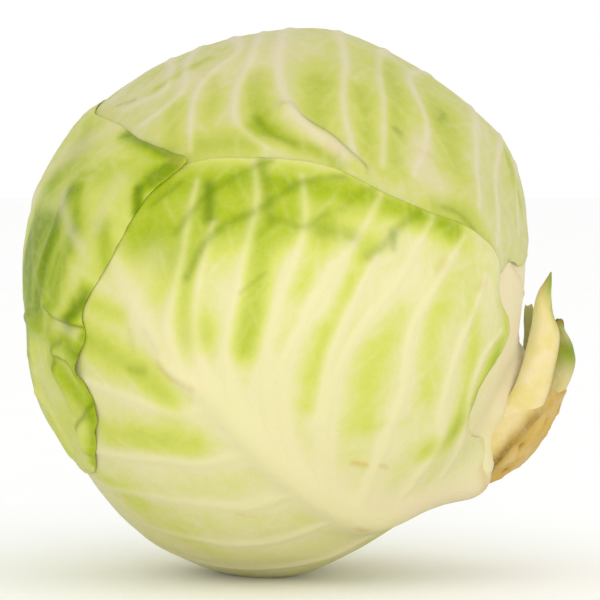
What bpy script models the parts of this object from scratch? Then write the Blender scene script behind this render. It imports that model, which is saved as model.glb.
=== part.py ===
"""A green cabbage head lying on its side on the small flat spot that its own weight presses.

Metres, +Z up. The origin is the middle of the footprint box, on the surface the head rests on.
The stem points to +X and down, the crown of the head to -X and up, and the front is -Y.

Every leaf is a cupped sheet laid over the heart. Its outline and its midrib are short lists of
(azimuth, elevation) directions seen from the middle of the head, in degrees: azimuth 0 is the
front, 90 the right and -90 the left. Each leaf lies on whatever leaves are already below it, so
the sheets stack the way they do on a real head, with a thin gap between neighbours.
"""

import bisect
import math

import bmesh
import bpy
from mathutils import Vector

# ---- driving dimensions -------------------------------------------------------------------
HEAD_CENTRE = Vector((-0.0078, -0.0006, 0.0821))
EQUATOR_RADIUS = 0.0792  # of the heart, across the stem's axis
POLE_RADIUS = 0.0758  # of the heart, along the stem's axis
HEART_CELLS = 12  # faces along one side of each of the heart's six patches
STEM_TILT = -28.6  # degrees that the stem's direction falls below horizontal

LEAF_THICKNESS = 0.0010
GAP = 0.0010  # clear space between neighbouring pieces
PRESSED_GAP = 0.0023  # the same over the flat spot
CELL = 0.0120  # about the size of a leaf's faces
SPREAD = 0.009  # how far past a lower leaf's edge the next leaf is still held up by it
RAMP = 0.022  # over what length it then comes down
OUTLINE_STEPS = 160
MIDRIB_STEPS = 40

DIMPLE_DEPTH = 0.0100  # of the hollow round the stem
DIMPLE_WIDTH = 20.0  # degrees

STEM_FOOT_DEPTH = 0.0690  # from the middle of the head to where the stem grows out of the heart
STEM_FOOT_RADIUS = 0.0165
STEM_RADIUS = 0.0195
CUT_RADIUS = 0.0125
CUT_CENTRE = Vector((0.0820, 0.0000, -0.0375))  # from the middle of the head
CUT_TILT = -32.0  # degrees that the cut face looks below horizontal
CUT_BEVEL = 0.0075  # how far behind the cut the stem has its full width
STEM_STEPS = 28

# The heart isn't a true spheroid: (azimuth, elevation, spread in degrees, height) of each swelling
# or hollow, which all the leaves above it follow.
LUMPS = (
    (90, 2, 15, -0.0044),
    (90, 40, 20, 0.0016),
    (60, 80, 26, 0.0038),
    (80, -87, 24, 0.0036),
    (-90, 68, 16, -0.0014),
    (-90, -8, 26, -0.0036),
    (-90, -42, 22, -0.0048),
    (90, -63, 12, -0.0066),
    (-10, 5, 30, 0.0015),
    (150, 20, 28, 0.0018),
    (-150, -15, 26, -0.0016),
    (180, 55, 22, -0.0012),
)


# ---- directions and curves ----------------------------------------------------------------
def direction(azimuth, elevation):
    """The unit vector of a direction given in degrees."""
    a, e = math.radians(azimuth), math.radians(elevation)
    return Vector((math.sin(a) * math.cos(e), -math.cos(a) * math.cos(e), math.sin(e)))


def smoothstep(x):
    x = min(1.0, max(0.0, x))
    return x * x * (3.0 - 2.0 * x)


def smooth_curve(points, place, closed=False):
    """The point at a place (0 to 1) on the Catmull-Rom curve through points."""
    spans = len(points) if closed else len(points) - 1
    first = min(int(place * spans), spans - 1)
    t = place * spans - first
    near = (first - 1, first, first + 1, first + 2)
    if closed:
        a, b, c, d = (points[n % len(points)] for n in near)
    else:
        a, b, c, d = (points[min(max(n, 0), spans)] for n in near)
    bend = 2.0 * a - 5.0 * b + 4.0 * c - d
    return 0.5 * (2.0 * b + (c - a) * t + bend * t**2 + (3.0 * b - a - 3.0 * c + d) * t**3)


def turned(start, end, share):
    """The direction a share of the way round from start to end."""
    angle = start.angle(end)
    return start * math.sin((1.0 - share) * angle) + end * math.sin(share * angle)


STEM_WAY = direction(90, STEM_TILT)
MEAN_RADIUS = (EQUATOR_RADIUS + POLE_RADIUS) / 2
LUMP_WAYS = [(direction(a, e), math.radians(s), h) for a, e, s, h in LUMPS]


def heart_radius(way):
    """How far the heart's surface is from the middle of the head in this direction."""
    along = way.dot(STEM_WAY)
    across = 1.0 - along * along
    radius = 1.0 / math.sqrt(along**2 / POLE_RADIUS**2 + across / EQUATOR_RADIUS**2)
    for lump, spread, height in LUMP_WAYS:
        radius += height * math.exp(-((way.angle(lump) / spread) ** 2))
    from_stem = math.degrees(way.angle(STEM_WAY))
    return radius - DIMPLE_DEPTH * math.exp(-((from_stem / DIMPLE_WIDTH) ** 2))


def on_head(way, height, floor):
    """The point at a height above the heart, pressed no lower than floor."""
    point = HEAD_CENTRE + way * (heart_radius(way) + height)
    point.z = max(point.z, floor)
    return point


# ---- leaves -------------------------------------------------------------------------------
class Leaf:
    """A wrapper leaf: its outline, its midrib and how far its outside stays off the floor."""

    def __init__(self, name, middle, outline, midrib, rib, colour, floor=0.0):
        self.name = name
        self.colour = colour
        self.floor = floor
        self.rib_height, self.rib_width = rib
        self.middle = direction(*middle)
        self.up = (Vector((0, 0, 1)) - self.middle * self.middle.z).normalized()
        self.side = self.up.cross(self.middle)
        corners = [direction(*p) for p in outline]
        steps = range(OUTLINE_STEPS)
        self.edge = [smooth_curve(corners, k / OUTLINE_STEPS, closed=True) for k in steps]
        spine = [direction(*p) for p in midrib]
        self.spine = [smooth_curve(spine, k / MIDRIB_STEPS) for k in range(MIDRIB_STEPS + 1)]
        ordered = sorted((self.bearing(p), self.middle.angle(p)) for p in self.edge)
        self.bearings = [bearing for bearing, reach in ordered]
        self.reaches = [reach for bearing, reach in ordered]
        self.cells = round(2.0 * max(self.reaches) * MEAN_RADIUS / CELL)

    def bearing(self, way):
        """The side that a direction lies on as seen from the leaf's middle, 0 to 2 pi."""
        return math.atan2(way.dot(self.up), way.dot(self.side)) % math.tau

    def cover(self, way):
        """1 where a leaf above is held up by this one, 0 well away from it."""
        ahead = bisect.bisect(self.bearings, self.bearing(way)) % len(self.bearings)
        inside = (self.reaches[ahead] - self.middle.angle(way)) * MEAN_RADIUS
        return smoothstep((inside + SPREAD + RAMP) / RAMP)

    def rib_at(self, way):
        """The midrib's height: full at the stem, nothing at the tip."""
        near = min(range(len(self.spine)), key=lambda k: (way - self.spine[k]).length_squared)
        off = (way - self.spine[near]).length * MEAN_RADIUS
        taper = 1.0 - near / MIDRIB_STEPS
        return self.rib_height * taper * math.exp(-((off / self.rib_width) ** 2))

    def thickness(self, way):
        return LEAF_THICKNESS + self.rib_at(way)


RIGHT_LEAF = Leaf(
    "inner_leaf_right",
    middle=(80, 6),
    outline=(
        (74, -20), (60, -26), (47, -18), (42, -4), (43, 10), (53, 24), (74, 31),
        (97, 30), (114, 21), (120, 6), (114, -8), (105, -14), (92, -10), (82, -12),
    ),
    midrib=((86, -12), (78, -2), (72, 12), (70, 26)),
    rib=(0.0010, 0.018),
    colour=(0.78, 0.74, 0.56),
)
UNDER_LEAF = Leaf(
    "inner_leaf_under",
    middle=(165, -60),
    outline=(
        (98, -46), (107, -38), (124, -30), (150, -25), (180, -22), (-150, -24), (-122, -30),
        (-100, -40), (-88, -56), (-60, -66), (0, -68), (60, -66), (84, -58),
    ),
    midrib=((105, -46), (125, -48), (150, -46), (180, -40)),
    rib=(0.0010, 0.018),
    colour=(0.70, 0.72, 0.40),
    floor=LEAF_THICKNESS + PRESSED_GAP,
)
TOP_LEAF = Leaf(
    "top_leaf",
    middle=(90, 66),
    outline=(
        (-30, 24), (-12, 22), (8, 22), (26, 16), (40, 8), (52, 6), (62, 10), (69, 9),
        (78, 11), (90, 11), (101, 7), (107, -4), (112, -13), (122, -12),
        (134, -6), (150, 4), (175, 18), (-155, 27), (-125, 34), (-95, 34), (-72, 32), (-50, 28),
    ),
    midrib=((114, -8), (118, 8), (128, 30), (135, 62), (-120, 72), (-70, 50)),
    rib=(0.0012, 0.020),
    colour=(0.72, 0.74, 0.42),
)
FRONT_LEAF = Leaf(
    "front_leaf",
    middle=(0, -26),
    outline=(
        (-36, 29), (-23, 32), (-15, 33.5), (-6, 33.5), (6, 33), (15, 31), (26, 25.5),
        (37, 21), (48, 17), (56, 11), (56, 3), (63, -2), (64, -6), (59, -10), (57.5, -15),
        (58, -19), (61, -23), (67, -28), (73, -35), (79, -42), (88, -47), (104, -54),
        (140, -64), (180, -67), (-140, -61), (-115, -52), (-92, -42), (-76, -27),
        (-66, -12), (-60, 4), (-50, 19),
    ),
    midrib=((80, -40), (58, -46), (30, -53), (4, -45), (-15, -28), (-32, -10), (-45, 8)),
    rib=(0.0042, 0.013),
    colour=(0.74, 0.76, 0.38),
)
BACK_LEAF = Leaf(
    "back_leaf",
    middle=(-112, 2),
    outline=(
        (-22.5, 32), (-27, 26), (-31, 22), (-34, 15), (-37, 9), (-41, 4), (-44, 0),
        (-43, -5), (-46, -11), (-44, -18), (-45, -24), (-49, -29), (-53, -36), (-65, -39),
        (-95, -42), (-130, -41), (-165, -43), (165, -44), (140, -42), (122, -37),
        (112, -28), (116, -18), (124, -3), (142, 16), (170, 31), (-160, 41), (-125, 49),
        (-95, 50), (-72, 46), (-50, 43), (-36, 38), (-28, 34),
    ),
    midrib=((116, -28), (135, -18), (165, -8), (-165, 4), (-130, 18), (-90, 24), (-55, 22)),
    rib=(0.0034, 0.014),
    colour=(0.58, 0.68, 0.26),
)
LEAVES = (RIGHT_LEAF, UNDER_LEAF, TOP_LEAF, FRONT_LEAF, BACK_LEAF)  # from the heart outwards
HEART_FLOOR = 2 * (LEAF_THICKNESS + PRESSED_GAP)  # two leaves lie between it and the floor


def underside(leaf, way):
    """How high above the heart the underside of a leaf lies."""
    height = GAP
    for lower in LEAVES[: LEAVES.index(leaf)]:
        height += lower.cover(way) * (lower.thickness(way) + GAP)
    return height


def round_grid(cells):
    """(share of the reach, place round the edge) at the corners of an even grid on a disc."""
    grid = []
    for row in range(cells + 1):
        for column in range(cells + 1):
            u, v = 2.0 * column / cells - 1.0, 2.0 * row / cells - 1.0
            if abs(u) > abs(v):
                reach, place = u, v / u / 8
            else:
                reach, place = v, 0.25 - (u / v if v else 0.0) / 8
            grid.append((abs(reach), (place + (0.5 if reach < 0 else 0.0)) % 1.0))
    return grid


def leaf_ways(leaf):
    """The directions of the corners of a leaf's faces."""
    ways = []
    for share, place in round_grid(leaf.cells):
        edge = leaf.edge[round(place * OUTLINE_STEPS) % OUTLINE_STEPS]
        ways.append(turned(leaf.middle, edge, share).normalized())
    return ways


def sheet_faces(cells):
    """The faces of two equal grids, the second one outside, closed round their edges."""
    side = cells + 1
    outside = side * side
    faces = []
    for row in range(cells):
        for column in range(cells):
            a = row * side + column
            faces.append((a, a + side, a + side + 1, a + 1))
            faces.append(tuple(outside + n for n in (a, a + 1, a + side + 1, a + side)))
    rim = [n for n in range(cells)]
    rim += [n * side + cells for n in range(cells)]
    rim += [cells * side + cells - n for n in range(cells)]
    rim += [(cells - n) * side for n in range(cells)]
    for n, corner in enumerate(rim):
        following = rim[(n + 1) % len(rim)]
        faces.append((corner, following, outside + following, outside + corner))
    return faces


def add_leaf(leaf):
    inner = []
    outer = []
    for way in leaf_ways(leaf):
        height = underside(leaf, way)
        inner.append(on_head(way, height, leaf.floor + LEAF_THICKNESS))
        outer.append(on_head(way, height + leaf.thickness(way), leaf.floor))
    add_piece(leaf.name, inner + outer, sheet_faces(leaf.cells), leaf.colour)


# ---- the other pieces ---------------------------------------------------------------------
def add_piece(name, points, faces, colour, roughness=0.5):
    """A smooth-shaded closed object, facing out, with its own material."""
    mesh = bpy.data.meshes.new(name)
    mesh.from_pydata([tuple(p) for p in points], [], faces)
    shell = bmesh.new()
    shell.from_mesh(mesh)
    bmesh.ops.triangulate(shell, faces=shell.faces[:])
    bmesh.ops.recalc_face_normals(shell, faces=shell.faces[:])
    shell.to_mesh(mesh)
    shell.free()
    mesh.polygons.foreach_set("use_smooth", [True] * len(mesh.polygons))
    material = bpy.data.materials.new(name)
    material.use_nodes = True
    shader = material.node_tree.nodes["Principled BSDF"]
    shader.inputs["Base Color"].default_value = (*colour, 1.0)
    shader.inputs["Roughness"].default_value = roughness
    shader.inputs["Metallic"].default_value = 0.0
    mesh.materials.append(material)
    piece = bpy.data.objects.new(name, mesh)
    bpy.context.collection.objects.link(piece)
    return piece


def add_heart():
    """The tight middle of the head: an even ball of six patches drawn out to the heart's shape."""
    bpy.ops.mesh.primitive_cube_add(size=2.0)
    heart = bpy.context.object
    bpy.ops.object.mode_set(mode="EDIT")
    bpy.ops.mesh.subdivide(number_cuts=HEART_CELLS - 1)
    bpy.ops.object.mode_set(mode="OBJECT")
    points = []
    for vertex in heart.data.vertices:
        way = Vector([math.tan(math.radians(45.0 * c)) for c in vertex.co]).normalized()
        points.append(on_head(way, 0.0, HEART_FLOOR))
    faces = [tuple(face.vertices) for face in heart.data.polygons]
    bpy.data.objects.remove(heart)
    add_piece("heart", points, faces, (0.72, 0.74, 0.44))


def ring(centre, axis, radius, steps):
    """Points round a circle, starting from the side nearest the top."""
    up = (Vector((0, 0, 1)) - axis * axis.z).normalized()
    side = axis.cross(up)
    turns = [math.tau * k / steps for k in range(steps)]
    return [centre + (up * math.cos(t) + side * math.sin(t)) * radius for t in turns]


def rings_faces(count, steps):
    """The faces of a row of equal rings, closed at both ends, facing out along the row."""
    faces = [tuple(reversed(range(steps)))]
    for row in range(count - 1):
        for k in range(steps):
            a, b = row * steps + k, row * steps + (k + 1) % steps
            faces.append((a, b, b + steps, a + steps))
    faces.append(tuple(range((count - 1) * steps, count * steps)))
    return faces


def add_stem():
    """The short stem with its bevelled cut face, standing in the dimple."""
    cut_way = direction(90, CUT_TILT)
    foot = HEAD_CENTRE + STEM_WAY * STEM_FOOT_DEPTH
    cut = HEAD_CENTRE + CUT_CENTRE
    shoulder = cut - cut_way * CUT_BEVEL
    points = ring(foot, STEM_WAY, STEM_FOOT_RADIUS, STEM_STEPS)
    points += ring(shoulder, cut_way, STEM_RADIUS, STEM_STEPS)
    points += ring(cut, cut_way, CUT_RADIUS, STEM_STEPS)
    add_piece("stem", points, rings_faces(3, STEM_STEPS), (0.74, 0.56, 0.26), 0.6)


def add_torn_base(name, path, across, widths, thicknesses, colour):
    """What is left of an outer leaf's foot: a tongue with an oval section along a bent path."""
    spine = [HEAD_CENTRE + Vector(p) for p in path]
    across = Vector(across).normalized()
    sections = 9
    steps = 12
    points = []
    for n in range(sections):
        place = n / (sections - 1)
        centre = smooth_curve(spine, place)
        ahead = smooth_curve(spine, min(1.0, place + 0.01))
        behind = smooth_curve(spine, max(0.0, place - 0.01))
        along = (ahead - behind).normalized()
        thick = along.cross(across).normalized()
        wide = thick.cross(along)
        half_width = smooth_curve(widths, place) / 2
        half_thickness = smooth_curve(thicknesses, place) / 2
        for k in range(steps):
            turn = math.tau * k / steps
            offset = wide * math.cos(turn) * half_width + thick * math.sin(turn) * half_thickness
            points.append(centre + offset)
    add_piece(name, points, rings_faces(sections, steps), colour)


def clear_scene():
    for item in list(bpy.data.objects):
        bpy.data.objects.remove(item)


clear_scene()
add_heart()
for next_leaf in LEAVES:
    add_leaf(next_leaf)
add_stem()
add_torn_base(
    "torn_leaf_base_tall",
    path=((0.0782, -0.0204, -0.0232), (0.0797, -0.0188, -0.0140), (0.0814, -0.0162, -0.0020),
          (0.0834, -0.0130, 0.0092)),
    across=(1.0, 0.0, 0.0),
    widths=(0.0115, 0.0120, 0.0090, 0.0014),
    thicknesses=(0.0028, 0.0026, 0.0018, 0.0009),
    colour=(0.70, 0.62, 0.18),
)
add_torn_base(
    "torn_leaf_base_short",
    path=((0.0896, 0.0000, -0.0205), (0.0893, 0.0000, -0.0130), (0.0874, 0.0000, -0.0058)),
    across=(0.0, -1.0, 0.0),
    widths=(0.0140, 0.0150, 0.0080),
    thicknesses=(0.0024, 0.0022, 0.0012),
    colour=(0.30, 0.42, 0.02),
)
add_torn_base(
    "torn_leaf_base_small",
    path=((0.0790, 0.0105, -0.0165), (0.0785, 0.0095, -0.0090), (0.0778, 0.0085, -0.0010)),
    across=(0.2, -0.98, 0.0),
    widths=(0.0090, 0.0080, 0.0030),
    thicknesses=(0.0018, 0.0014, 0.0009),
    colour=(0.42, 0.40, 0.06),
)
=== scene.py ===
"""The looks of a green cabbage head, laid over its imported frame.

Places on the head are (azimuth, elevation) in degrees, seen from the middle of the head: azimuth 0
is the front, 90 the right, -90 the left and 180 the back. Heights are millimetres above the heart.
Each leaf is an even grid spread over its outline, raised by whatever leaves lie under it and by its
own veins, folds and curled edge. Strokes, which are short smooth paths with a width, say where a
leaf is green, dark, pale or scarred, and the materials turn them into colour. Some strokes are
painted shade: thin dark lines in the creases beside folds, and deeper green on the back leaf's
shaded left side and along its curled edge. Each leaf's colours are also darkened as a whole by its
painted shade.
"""

import math

import bmesh
import bpy
import numpy as np
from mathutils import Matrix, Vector


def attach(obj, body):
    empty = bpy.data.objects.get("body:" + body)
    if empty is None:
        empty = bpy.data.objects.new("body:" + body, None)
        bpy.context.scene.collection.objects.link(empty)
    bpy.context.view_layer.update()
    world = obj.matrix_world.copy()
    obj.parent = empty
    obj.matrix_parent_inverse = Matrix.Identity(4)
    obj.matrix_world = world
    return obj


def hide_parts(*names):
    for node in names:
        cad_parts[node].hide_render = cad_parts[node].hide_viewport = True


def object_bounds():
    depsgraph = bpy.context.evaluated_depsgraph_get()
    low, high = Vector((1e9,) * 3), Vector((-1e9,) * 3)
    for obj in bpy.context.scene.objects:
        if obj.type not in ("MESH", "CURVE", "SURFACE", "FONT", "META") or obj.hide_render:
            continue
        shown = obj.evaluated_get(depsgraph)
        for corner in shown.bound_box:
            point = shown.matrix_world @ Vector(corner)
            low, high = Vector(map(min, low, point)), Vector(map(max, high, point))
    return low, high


bl_info = {
    "name": "Cabbage Head",
    "version": (1, 0, 0),
    "blender": (4, 5, 0),
    "location": "3D Viewport > Sidebar > Cabbage",
    "description": "Builds a green cabbage head over its packed frame",
    "category": "Add Mesh",
}

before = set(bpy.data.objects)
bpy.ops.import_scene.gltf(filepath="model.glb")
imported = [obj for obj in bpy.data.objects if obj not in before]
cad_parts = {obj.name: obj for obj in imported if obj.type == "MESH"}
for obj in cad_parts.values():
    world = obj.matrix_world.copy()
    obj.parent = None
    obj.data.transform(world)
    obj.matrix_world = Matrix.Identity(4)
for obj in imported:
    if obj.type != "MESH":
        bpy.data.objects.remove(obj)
CAD_BOX = [tuple(corner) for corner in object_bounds()]
LOW, HIGH = (Vector(corner) for corner in CAD_BOX)
DESIGNED_WIDTH = 166.0  # of the whole head in mm
MM = (HIGH.x - LOW.x) / DESIGNED_WIDTH
UP = np.array([0.0, 0.0, 1.0])
TINY = 1e-12  # keeps a division away from zero

# the middle of the ball of leaves, left of the box's because the stem sticks out on the right
HEAD_CENTRE = np.array([
    (LOW.x + HIGH.x) / 2 - 7.8 * MM,
    (LOW.y + HIGH.y) / 2 - 0.6 * MM,
    LOW.z + 82.1 * MM,
])
EQUATOR_RADIUS = 80.2 * MM  # of the heart, across the stem's axis
POLE_RADIUS = 76.8 * MM  # of the heart, along the stem's axis
MEAN_RADIUS = (EQUATOR_RADIUS + POLE_RADIUS) / 2
STEM_TILT = -28.6  # degrees that the stem's direction falls below horizontal
DIMPLE_DEPTH = 10.0 * MM  # of the hollow round the stem
DIMPLE_WIDTH = 20.0  # degrees
SPREAD = 4.0 * MM  # how far past a lower leaf's edge the next leaf is still held up
RAMP = 15.0 * MM  # over what length it then comes down
HEAD_SEED = 51  # of the slow waves that all the leaves share
STROKE_REACH = 3.0  # widths from its middle, past which a stroke is nothing
VEIN_REACH = 4.0  # the same for a vein

# how a midrib changes by its tip: the shares of its width and of its paleness that are lost
RIB_NARROWING = 0.62
RIB_FADING = 0.45
# how unevenly side veins grow
START_SCATTER = 0.2  # share of the gap between them
LEAN_SCATTER = 8.0  # degrees
LENGTH_RANGE = (0.7, 1.2)
BEND_RANGE = (0.6, 1.3)
LATERAL_CORE = 0.5  # share of a lateral's width that its ridge takes
VEIN_FADING = 0.35  # share of its paleness that a vein loses by its tip
VEIN_PALENESS = (0.45, 0.55)  # of the whole width of a vein, and of its ridge
CROSSING = 0.6  # share of the height already there that a vein crossing it keeps
SMALL_VEIN_SEED = 10  # added to a leaf's seed

# how many steps a leaf's paths are cut into
EDGE_STEPS = 1440
MIDRIB_STEPS = 60
LATERAL_STEPS = 20

# the waves of a leaf, as (length, height) in mm
HEAD_WAVE = (42, 0.45)
BLADE_WAVE = (13, 0.06)
CURL_WAVE = 15  # mm long
CRINKLE_WAVE = 5.5  # mm long
EDGE_BAND = 5.0  # mm from the edge in which the curl dies away
EDGE_TAPER = 4.0  # mm from the edge in which a leaf gets its full thickness
EDGE_THICKNESS = 0.35  # share of it that is left at the edge
DEEPEST_FOLD = 0.3  # share of the gap under a leaf that a fold may take
LINING_STEP = 5  # cells of a leaf's outside to one of its inside
LINING_LIFT = 0.6  # share of the thickness that the inside keeps clear of the floor

# (azimuth, elevation, spread in degrees, height in mm) of the heart's swellings and hollows
LUMPS = (
    (90, 2, 15, -4.4),
    (90, 38, 18, 3.8),
    (60, 80, 24, 2.4),
    (-90, 50, 18, 0.8),
    (-90, -12, 24, -4.4),
    (-90, -42, 22, -4.8),
    (80, -87, 20, 2.0),
    (90, -66, 14, -7.4),
    (-10, 5, 30, 1.5),
    (150, 20, 28, 1.8),
    (-150, -15, 26, -1.6),
    (180, 55, 22, -1.2),
    (77, -38, 9.0, 8.5),
)


# ---- directions, curves and ripples ----
def ways(places):
    """The unit vectors of (azimuth, elevation) places."""
    azimuth, elevation = np.radians(np.asarray(places, float).reshape(-1, 2)).T
    level = np.cos(elevation)
    return np.stack([np.sin(azimuth) * level, -np.cos(azimuth) * level, np.sin(elevation)], axis=-1)


def unit(vectors):
    return vectors / np.linalg.norm(vectors, axis=-1, keepdims=True)


def angle(a, b):
    return np.arccos(np.clip(np.sum(a * b, axis=-1), -1.0, 1.0))


def smoothstep(x):
    x = np.clip(x, 0.0, 1.0)
    return x * x * (3.0 - 2.0 * x)


def spline(points, places, closed=False):
    """Points of the Catmull-Rom curve through points, at places from 0 to 1."""
    points = np.asarray(points, float)
    spans = len(points) if closed else len(points) - 1
    first = np.minimum((np.asarray(places) * spans).astype(int), spans - 1)
    t = (np.asarray(places) * spans - first)[:, None]
    near = [first - 1, first, first + 1, first + 2]
    if closed:
        a, b, c, d = (points[n % len(points)] for n in near)
    else:
        a, b, c, d = (points[np.clip(n, 0, spans)] for n in near)
    bend = 2.0 * a - 5.0 * b + 4.0 * c - d
    return 0.5 * (2.0 * b + (c - a) * t + bend * t**2 + (3.0 * b - a - 3.0 * c + d) * t**3)


def path(places, steps=24):
    """A smooth path over the head through a few places."""
    return unit(spline(ways(places), np.linspace(0.0, 1.0, steps + 1)))


def turned(start, end, share):
    """The directions a share of the way round from start to the ends."""
    whole = angle(start, end)[:, None]
    return unit(start * np.sin((1.0 - share) * whole) + end * np.sin(share * whole))


def ripple(points, length, seed, waves=14):
    """Smooth random waves of about this length, mostly between -1 and 1."""
    random = np.random.default_rng(seed)
    heading = unit(random.normal(size=(waves, 3)))
    rate = math.tau / (length * random.uniform(0.7, 1.5, waves))
    start = random.uniform(0.0, math.tau, waves)
    return np.sin((points @ heading.T) * rate + start).sum(axis=1) / math.sqrt(waves)


def beside(way, route):
    """Distance from a route, signed by its side, and the share along it, for each direction."""
    start, run = route[:-1], route[1:] - route[:-1]
    length = np.maximum(np.sum(run * run, axis=1), TINY)
    share = np.clip((way @ run.T - np.sum(start * run, axis=1)) / length, 0.0, 1.0)
    squared = (
        1.0 + np.sum(start * start, axis=1) + share**2 * length
        - 2.0 * (way @ start.T) - 2.0 * share * (way @ run.T) + 2.0 * share * np.sum(start * run, axis=1)
    )
    nearest = np.argmin(squared, axis=1)
    rows = np.arange(len(way))
    share = share[rows, nearest]
    foot = start[nearest] + run[nearest] * share[:, None]
    side = np.sign(np.sum(np.cross(run[nearest], way - foot) * way, axis=1))
    distance = np.linalg.norm(way - foot, axis=1) * MEAN_RADIUS
    return side * distance, (nearest + share) / len(run)


def close_to(way, route, reach):
    """Which directions may lie within reach of a route."""
    middle = unit(route.mean(axis=0))
    radius = angle(route, middle).max() + reach / MEAN_RADIUS
    return np.nonzero(way @ middle > math.cos(min(radius, math.pi)))[0]


def stroke(way, places, width, strength, end_width=None):
    """A soft stroke of a brush along a path: strength at its middle, fading over width (mm)."""
    route = path(places)
    end_width = width if end_width is None else end_width
    found = np.zeros(len(way))
    near = close_to(way, route, STROKE_REACH * max(width, end_width) * MM)
    if len(near):
        off, along = beside(way[near], route)
        broad = (width + (end_width - width) * along) * MM
        found[near] = strength * np.exp(-((off / broad) ** 2))
    return found


def painted(way, strokes):
    """Strokes laid over each other; each is (places, width, strength) or has an end width too."""
    total = np.zeros(len(way))
    for one in strokes:
        total = total + stroke(way, *one) * (1.0 - np.clip(total, 0.0, 1.0))
    return total


# ---- the head's shape ----
STEM_WAY = ways((90, STEM_TILT))[0]


def heart_radius(way):
    along = way @ STEM_WAY
    radius = 1.0 / np.sqrt(along**2 / POLE_RADIUS**2 + (1.0 - along**2) / EQUATOR_RADIUS**2)
    for azimuth, elevation, spread, height in LUMPS:
        off = angle(way, ways((azimuth, elevation))[0]) / math.radians(spread)
        radius = radius + height * MM * np.exp(-(off**2))
    from_stem = np.degrees(np.arccos(np.clip(along, -1.0, 1.0)))
    return radius - DIMPLE_DEPTH * np.exp(-((from_stem / DIMPLE_WIDTH) ** 2))


def on_head(way, height, floor):
    """Points at a height above the heart, pressed flat where they would lie lower than floor."""
    points = HEAD_CENTRE + way * (heart_radius(way) + height)[:, None]
    points[:, 2] = np.maximum(points[:, 2], LOW.z + floor)
    return points


class Vein:
    """A vein: its path, and its width and height (mm) where it starts and where it ends."""

    def __init__(self, route, width, height, pale, core):
        self.route = route
        self.width = width
        self.height = height
        self.pale = pale
        self.core = core  # share of the width that its ridge takes


def grown(start, heading, length, bend, steps=10):
    """A path over the head from start, turning by bend (degrees) on the way."""
    step = length / MEAN_RADIUS / steps
    turn = math.radians(bend) / steps
    way, heading = unit(start), unit(heading - start * np.dot(start, heading))
    route = [way]
    for _ in range(steps):
        heading = heading * math.cos(turn) + np.cross(way, heading) * math.sin(turn)
        way = unit(way + heading * step)
        heading = unit(heading - way * np.dot(way, heading))
        route.append(way)
    return np.array(route)


def branches(route, gap, first, length, lean, bend, seed):
    """Paths that leave a route on alternate sides, every gap (mm), at an angle of lean."""
    random = np.random.default_rng(seed)
    size = angle(route[:-1], route[1:]).sum() * MEAN_RADIUS / MM
    side = random.choice([-1.0, 1.0])
    found = []
    for at in np.arange(first, size - 0.3 * gap, gap):
        place = (at + random.uniform(-START_SCATTER, START_SCATTER) * gap) / size * (len(route) - 1)
        n = int(np.clip(place, 0, len(route) - 2))
        start = unit(route[n] + (route[n + 1] - route[n]) * (place - n))
        heading = unit(route[n + 1] - route[n])
        tilt = math.radians(lean + random.uniform(-LEAN_SCATTER, LEAN_SCATTER)) * side
        heading = heading * math.cos(tilt) + np.cross(start, heading) * math.sin(tilt)
        reach = length * random.uniform(*LENGTH_RANGE) * MM
        found.append(grown(start, heading, reach, -bend * side * random.uniform(*BEND_RANGE)))
        side = -side
    return found


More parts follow.
